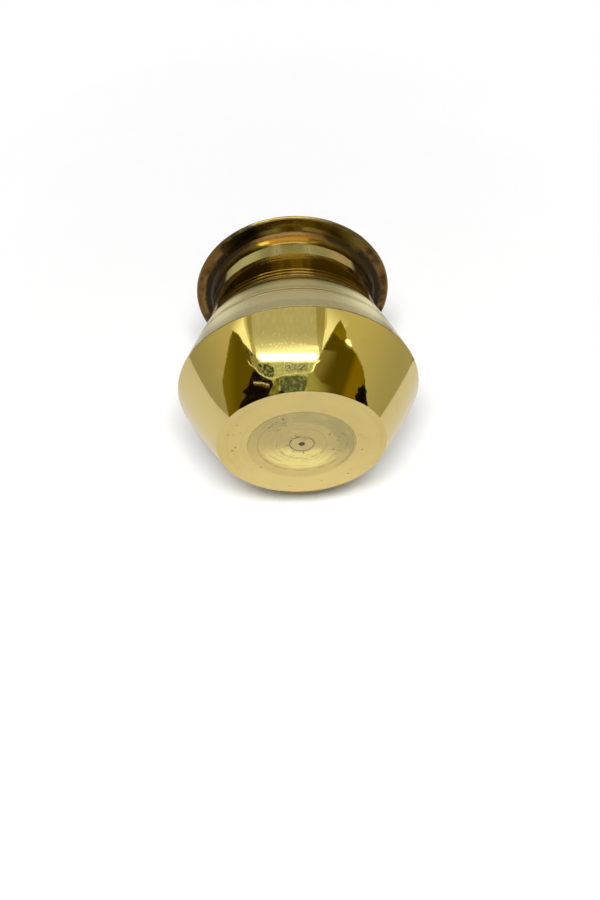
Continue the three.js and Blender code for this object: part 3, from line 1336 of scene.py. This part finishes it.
    ),
    FlankCard(
        "right_haze", (0.3, 0.255, 0.085), 1.76,
        ((319.4, 360.4), (323, 350), (336, 352), (336, 392), (311, 392), (312.6, 371.6), (314.6, 366.8)),
        fade=Fade(LEAF_SHADE, (315, 367), (331, 375)),
    ),
    FlankCard(
        "right_pale", (0.41, 0.42, 0.155), 1.74,
        ((307.5, 372.5), (313, 371.8), (316.5, 376.5), (318, 382), (334, 386), (334, 400), (306, 400),
         (308.4, 385), (308.6, 379)),
        fade=Fade(LEAF_SHADE, (313, 390), (333, 384)),
    ),
    FlankCard(
        "right_spot", (2.4, 2.3, 1.8), 1.6,
        ((345, 339.9), (347.2, 339.4), (349.6, 340.6), (350.4, 343.6), (351.4, 347.2), (348.6, 345.8),
         (346.4, 344.2), (344.8, 341.6)),
        ragged=0.2,
    ),
    FlankCard(
        "right_black", (0.004, 0.003, 0.001), 1.7,
        ((361.8, 384.6), (363.6, 385.6), (365, 388.4), (367, 392.2), (364.2, 393.2), (362.6, 393.8),
         (363, 396), (365.4, 399.6), (369, 410), (356, 404), (354.6, 396.4), (355.2, 394.4), (358, 392),
         (356.6, 389.6), (357.6, 387.6), (359.8, 387.6)),
        ragged=0.45, fineness=4,
    ),
)


@dataclass(frozen=True)
class Sheet:
    """A one-sided white sheet of the stage, which may glow more away from the pot.

    Its corners are steps from its centre to +X and, square to that, upwards, or to +Y on a level
    sheet. Its glow is that near the pot and that far from it.
    """

    name: str
    centre: Vector
    facing: Vector
    corners: tuple[Point, ...]
    sees: Sees
    white: float
    glow: Point = (0.0, 0.0)
    glow_from: float = 0.08
    glow_full: float = 0.5

    def build(self) -> None:
        """Make the sheet and limit which rays see it."""
        rise = self.facing.cross(RIGHT)
        work = bmesh.new()
        work.faces.new([work.verts.new(self.centre + RIGHT * x + rise * y) for x, y in self.corners])
        sheet = new_object(self.name, work)
        sheet.data.materials.append(self._material())
        self.sees.limit(sheet)

    def _material(self) -> bpy.types.Material:
        """White with its glow in front, and clear behind.

        Returns:
            The material.
        """
        made, tree = NodeTree.bare(self.name + "_white")
        place = tree.add("ShaderNodeTexCoord").outputs["Object"]
        far = tree.ramp(tree.measure("LENGTH", place), self.glow_from, self.glow_full)
        white = tree.fed("ShaderNodeBsdfDiffuse", (self.white,) * 3)
        glow = tree.fed("ShaderNodeEmission", (1.0, 1.0, 1.0), tree.blend(far, *self.glow))
        lit = tree.fed("ShaderNodeAddShader", white, glow)
        behind = tree.add("ShaderNodeNewGeometry").outputs["Backfacing"]
        clear = tree.fed("ShaderNodeBsdfTransparent")
        tree.end(tree.fed("ShaderNodeMixShader", behind, lit, clear))
        return made


@dataclass(frozen=True)
class Lamp:
    """An oblong soft lamp, aimed at the pot, that polished metal doesn't show."""

    name: str
    place: Vector
    size: Point
    power: float

    def build(self) -> None:
        """Make the lamp."""
        data = bpy.data.lights.new(self.name, "AREA")
        data.shape = "RECTANGLE"
        data.size, data.size_y = self.size
        data.energy = self.power
        lamp = bpy.data.objects.new(self.name, data)
        lamp.location = self.place
        lamp.rotation_euler = (-self.place).to_track_quat("-Z", "Y").to_euler()
        lamp.visible_glossy = False
        bpy.context.scene.collection.objects.link(lamp)


@dataclass
class Studio:
    """The white paper, the floor for other views, the lamps and the glowing cards."""

    gap: float = 0.05 * MM
    table_size: float = 3.0
    table_white: float = 0.86
    table_glow: Point = (0.0, 0.34)
    floor_glow: Point = (0.60, 0.75)
    paper_white: float = 0.65
    paper_mm: tuple[Point, ...] = (
        (-850, -420), (240, -420), (148, -26), (116, 30), (104, 95), (-302, 95), (-302, 10),
        (-318, -20), (-385, -51), (-542, -98), (-850, -180),
    )
    world_glow: float = 0.14
    key_distance: float = 0.95
    key_drop: float = 0.3
    key_size: Point = (0.62, 0.24)
    key_power: float = 13.3
    top_place: tuple[float, float, float] = (0.2, -0.2, 0.9)
    top_size: Point = (0.7, 0.7)
    top_power: float = 1.0

    def build(self, mirror: FlankMirror) -> None:
        """Make everything that isn't part of the pot.

        Args:
            mirror: The flank that some cards are placed by.
        """
        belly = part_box("lower_bowl")[1]
        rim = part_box("mouth_rim")[1]
        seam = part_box("belly_braze_ring")[0].z
        slope = math.atan2(belly.x - rim.x, rim.z - seam)
        facing = Vector((0.0, -math.cos(slope), -math.sin(slope)))
        touch = Vector((0.0, belly.x, seam)) - facing * self.gap
        half = self.table_size / 2
        table = box(-half, half, -half, half)
        paper = tuple((x * MM, rise * MM) for x, rise in self.paper_mm)
        floor = box(-half, half, -half, touch.y + seam * math.tan(slope))
        white = self.table_white
        Sheet("table", touch, facing, table, Sees.ALL_BUT_GLOSSY, white, self.table_glow).build()
        Sheet("paper", touch, facing, paper, Sees.GLOSSY, self.paper_white).build()
        Sheet("floor", -self.gap * UP, UP, floor, Sees.CAMERA, white, self.floor_glow).build()
        self._world()
        key_place = facing * self.key_distance - self.key_drop * UP
        Lamp("key_lamp", key_place, self.key_size, self.key_power).build()
        Lamp("top_lamp", Vector(self.top_place), self.top_size, self.top_power).build()
        for card in CARDS:
            card.build(mirror)

    def _world(self) -> None:
        """Make a world that is white to the camera and to polished metal, and dim to everything else."""
        world = bpy.data.worlds.new("studio")
        world.use_nodes = True
        bpy.context.scene.world = world
        tree = NodeTree(world.node_tree)
        ray = tree.add("ShaderNodeLightPath").outputs
        seen = tree.math("MAXIMUM", ray["Is Camera Ray"], ray["Is Glossy Ray"])
        seen = tree.math("MAXIMUM", seen, ray["Is Transmission Ray"])
        background = world.node_tree.nodes["Background"]
        tree.feed((1.0, 1.0, 1.0), background.inputs["Color"])
        strength = tree.total(tree.product(seen, 1.0 - self.world_glow), self.world_glow)
        tree.feed(strength, background.inputs["Strength"])


CAMERA = PhotoCamera()

# Pits in the flat of the foot, by where the picture shows them, with their radius in millimetres
PIT_SPOTS = (
    ((232.4, 450.6), 0.28), ((235.6, 447.4), 0.24), ((237, 425.4), 0.2), ((239.5, 433), 0.15),
    ((233, 434.4), 0.15), ((228, 434.8), 0.13), ((245, 412.2), 0.14), ((348, 473), 0.25),
    ((350.2, 469.2), 0.15), ((322, 480.4), 0.14), ((362.2, 449), 0.15), ((290, 486), 0.13),
    ((261, 467.6), 0.2), ((386, 446), 0.15), ((286, 462.4), 0.15),
)
FOOT_PITS = tuple((CAMERA.on_foot(spot), radius * MM) for spot, radius in PIT_SPOTS)

MIRROR = BrassFinish(
    name="mirror_brass", colour=(0.76, 0.61, 0.245), deep=(0.73, 0.58, 0.225), tarnish=(0.55, 0.41, 0.14),
    roughness=0.035, roughness_spread=0.015, tarnish_share=0.1, mark_depth=0.0003, mark_tone=0.05,
    scratch_depth=0.0008, chatter_depth=0.0008,
)
FOOT = BrassFinish(
    name="foot_brass", colour=(0.74, 0.58, 0.22), deep=(0.7, 0.545, 0.2), tarnish=(0.52, 0.41, 0.16),
    roughness=0.17, tarnish_share=0.2, turning=Turning.FACE, mark_pitch=0.42 * MM, mark_depth=0.003,
    mark_tone=0.12, scratch_depth=0.008,
    zones=(
        # Painted shade: the dish, rougher than the flat ring, darker on its front half
        Zone(0, 16.2, (0.585, 0.465, 0.185), 0.26, soft=0.15, ragged=0.2, side=Side(12, 108, 32)),
        # Painted reflection: the flat ring brighter towards the back
        Zone(16.5, 26, (0.86, 0.67, 0.25), 0.18, soft=1, side=Side(184, 50, 45)),
        # Rougher grey satin patches in the dish, darker on the front side: satin together with painted shade
        Zone(
            10.8, 15.8, (0.45, 0.385, 0.16), 0.34, soft=0.9, ragged=1.8, side=Side(22, 78, 40),
            patches=Patches(0.46, soft=0.18, scale=120),
        ),
        # Painted highlight: a bright streaky crescent in the dish towards the back
        Zone(
            4.2, 12.2, (1, 0.86, 0.31), 0.2, soft=0.6, side=Side(188, 56, 24),
            patches=Patches(0.44, stretch=(1500, 1.6)),
        ),
        Zone(
            10, 14.8, (0.24, 0.2, 0.085), 0.4, soft=0.7, side=Side(-30, 14),
            patches=Patches(0.6, soft=0.05, scale=1100),
        ),
        Zone(
            8.8, 13.4, (0.28, 0.23, 0.095), 0.4, soft=0.9, side=Side(84, 20, 12),
            patches=Patches(0.59, soft=0.035, scale=620),
        ),
        Zone(16, 16.3, (0.4, 0.33, 0.13), 0.3, soft=0.1, side=Side(0, 80, 25)),
        Zone(
            15.3, 15.5, (0.38, 0.31, 0.12), 0.3, soft=0.06, ragged=0.2, side=Side(80, 60),
            patches=Patches(0.42),
        ),
        Zone(13.1, 13.3, (0.44, 0.35, 0.14), 0.3, soft=0.06, ragged=0.1, patches=Patches(0.46)),
        Zone(7.4, 7.6, (0.48, 0.39, 0.16), 0.3, soft=0.06, ragged=0.1, patches=Patches(0.42)),
        Zone(
            3.6, 4.9, (0.16, 0.11, 0.05), 0.45, soft=0.25, side=Side(-120, 95, 30),
            patches=Patches(0.6, soft=0.04, stretch=(260, 7)),
        ),
    ),
    pits=FOOT_PITS,
)
SATIN = BrassFinish(
    name="satin_brass", colour=(0.76, 0.68, 0.42), deep=(0.71, 0.63, 0.37), tarnish=(0.52, 0.44, 0.24),
    roughness=0.28, tarnish_share=0.12, mark_depth=0.002,
    zones=(
        Zone(24.5, 30.6, (0.85, 0.765, 0.49), 0.28, soft=1),
        Zone(33.4, 41, (1, 0.9, 0.54), 0.28, soft=1.3),
    ),
)
# The neck: tarnished brass with painted shade, painted highlights and painted reflection
AGED_AND_SHADED = BrassFinish(
    name="aged_brass", colour=(0.66, 0.48, 0.13), deep=(0.54, 0.37, 0.09), tarnish=(0.34, 0.2, 0.05),
    roughness=0.1, tarnish_share=0.35, grain=220, mark_depth=0.0012,
    zones=(
        Zone(39, 42.2, (0.36, 0.235, 0.035), 0.16, soft=0.2, ragged=0.1),
        # Painted shade: the neck's wall darker at the back and sides
        Zone(39, 54, (0.3, 0.2, 0.05), 0.08, soft=0.5, side=Side(180, 139, 4)),
        # Painted highlight: bright gold streaks at the front of the neck
        Zone(
            50.5, 53.4, (0.92, 0.64, 0.16), 0.3, soft=0.5, side=Side(-2, 14, 5),
            patches=Patches(0.4, stretch=(1400, 1.6)),
        ),
        # A paler band round the flare; over it, on either side of the front, painted reflection in darker
        # and lighter patches, partly matt
        Zone(53.6, 59.4, (0.68, 0.6, 0.31), 0.13, soft=0.25, ragged=0.2),
        Zone(53.9, 58.8, (0.235, 0.195, 0.055), 0.35, soft=0.35, metal=0.2, side=Side(-29, 20, 5, 0.05)),
        Zone(53.9, 58.8, (0.47, 0.4, 0.135), 0.35, soft=0.35, metal=0.2, side=Side(-35, 11, 8, 0.05)),
        Zone(53.9, 58.5, (0.28, 0.23, 0.07), 0.35, soft=0.35, metal=0.2, side=Side(28, 16.5, 5, 0.05)),
        Zone(53.9, 58.5, (0.43, 0.3, 0.1), 0.35, soft=0.35, metal=0.2, side=Side(36, 7, 5, 0.05)),
        # The neck's top in orange-gold; painted shade darkens it at the back and sides, which leaves the
        # front lighter
        Zone(59.5, 62, (0.74, 0.52, 0.16), 0.14, soft=0.15, ragged=0.15),
        Zone(59.2, 62, (0.38, 0.28, 0.08), 0.16, soft=0.2, side=Side(180, 152, 10, 0.1)),
    ),
)
# The rim: tarnished brass with painted shade, painted reflection and a painted highlight
TARNISHED_AND_SHADED = BrassFinish(
    name="tarnished_brass", colour=(0.57, 0.47, 0.23), deep=(0.5, 0.4, 0.18), tarnish=(0.34, 0.25, 0.09),
    roughness=0.1, roughness_spread=0.03, tarnish_share=0.25, turning=Turning.FACE, grain=330,
    mark_depth=0.0012,
    zones=(
        # Painted shade: a near-black ring under the rim, all round but the front
        Zone(27.4, 30.5, (0.03, 0.021, 0.01), 0.28, soft=0.9, ragged=1.6, side=Side(180, 142, 7)),
        # A copper-brown band with darker patches on the rim's outer edge, kept off the front: tarnish
        # together with painted shade
        Zone(30.2, 33.4, (0.2, 0.1, 0.026), 0.32, soft=0.9, ragged=1.6, side=Side(180, 144, 7)),
        Zone(
            29.8, 33.4, (0.06, 0.036, 0.013), 0.32, soft=0.5, ragged=1.8, side=Side(180, 144, 7),
            patches=Patches(0.54, soft=0.12, scale=210),
        ),
        # Painted shade: the lip darker all round but the front
        Zone(32.35, 33.4, (0.2, 0.15, 0.055), 0.3, soft=0.12, side=Side(180, 160, 10)),
        # Painted reflection: dark patches under the rim on either side of the front
        Zone(27.2, 32.3, (0.03, 0.02, 0.004), 0.2, soft=0.5, ragged=0.8, side=Side(-30, 13, 5, 0.12)),
        Zone(27.2, 32.3, (0.16, 0.11, 0.024), 0.2, soft=0.5, ragged=0.8, side=Side(35, 12, 5, 0.12)),
        # Painted highlight: a bright lip at the front
        Zone(
            32.4, 33.4, (1, 0.84, 0.42), 0.2, soft=0.12, ragged=0.2, side=Side(0, 15, 10),
            patches=Patches(0.36),
        ),
    ),
)
DULL = BrassFinish(
    name="dull_brass", colour=(0.52, 0.4, 0.18), deep=(0.4, 0.29, 0.12), tarnish=(0.22, 0.14, 0.06),
    roughness=0.34, tarnish_share=0.4, grain=240, mark_depth=0.008,
)
BRAZE = BrassFinish(
    name="flush_braze", colour=(0.7, 0.56, 0.26), deep=(0.6, 0.46, 0.2), tarnish=(0.4, 0.26, 0.12),
    roughness=0.22,
)
COPPER_BRAZE = BrassFinish(
    name="copper_braze", colour=(0.46, 0.25, 0.09), deep=(0.34, 0.185, 0.07), tarnish=(0.12, 0.07, 0.035),
    roughness=0.28, tarnish_share=0.45, grain=420,
    zones=(
        # Painted shade: the copper ring darker all round but the front
        Zone(60, 65, (0.075, 0.055, 0.035), 0.3, side=Side(180, 159, 9)),
    ),
)
PALE = BrassFinish(
    name="pale_brass", colour=(0.64, 0.51, 0.225), deep=(0.58, 0.46, 0.2), tarnish=(0.4, 0.32, 0.14),
    roughness=0.25, turning=Turning.FACE, mark_depth=0.004,
    zones=(
        # Painted shade: the centre dimple darker
        Zone(-0.1, 0.95, (0.15, 0.085, 0.05), 0.4, soft=0.1, ragged=0.25),
    ),
)
DULL_BRAZE = BrassFinish(
    name="dull_braze", colour=(0.3, 0.22, 0.1), deep=(0.17, 0.12, 0.055), tarnish=(0.06, 0.042, 0.022),
    roughness=0.45, tarnish_share=0.55, turning=Turning.FACE, grain=900,
    zones=(
        Zone(
            0, 9, (0.52, 0.42, 0.18), 0.3, side=Side(30, 95, 30),
            patches=Patches(0.47, soft=0.06, scale=650),
        ),
    ),
)


def main(frame: dict) -> None:
    """Build the pot, its studio and its camera.

    Args:
        frame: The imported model, as it was loaded.
    """
    bpy.context.scene.view_settings.view_transform = "Standard"
    CAMERA.build()
    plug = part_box("plug_braze_ring")[1]
    seam = RaggedSeam(radius=plug.x)
    pieces = [
        LowerBowl("lower_bowl", "polished_brass", MIRROR, DULL, step=0.25 * MM, seam=seam, foot=FOOT),
        TurnedPiece("shoulder_shell", "satin_brass", SATIN, DULL),
        TurnedPiece("neck_collar", "aged_brass", AGED_AND_SHADED, DULL),
        TurnedPiece("mouth_rim", "tarnished_brass", TARNISHED_AND_SHADED, DULL),
        TurnedPiece("belly_braze_ring", "braze", BRAZE, BRAZE),
        TurnedPiece("neck_braze_ring", "braze", BRAZE, BRAZE),
        TurnedPiece("rim_braze_ring", "copper_braze", COPPER_BRAZE, COPPER_BRAZE),
        TurnedPiece("centre_plug", "pale_brass", PALE, PALE, seam=seam),
        TurnedPiece("plug_braze_ring", "dull_braze", DULL_BRAZE, DULL_BRAZE, seam=seam),
    ]
    for piece in pieces:
        piece.build(frame["nodes"][piece.node])
    flank = Outline(frame["nodes"]["lower_bowl"]).rise()
    Studio().build(FlankMirror.of(CAMERA, flank))


if __name__ == "__main__":
    logging.basicConfig(level=logging.INFO)
    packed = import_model()
    main(packed)
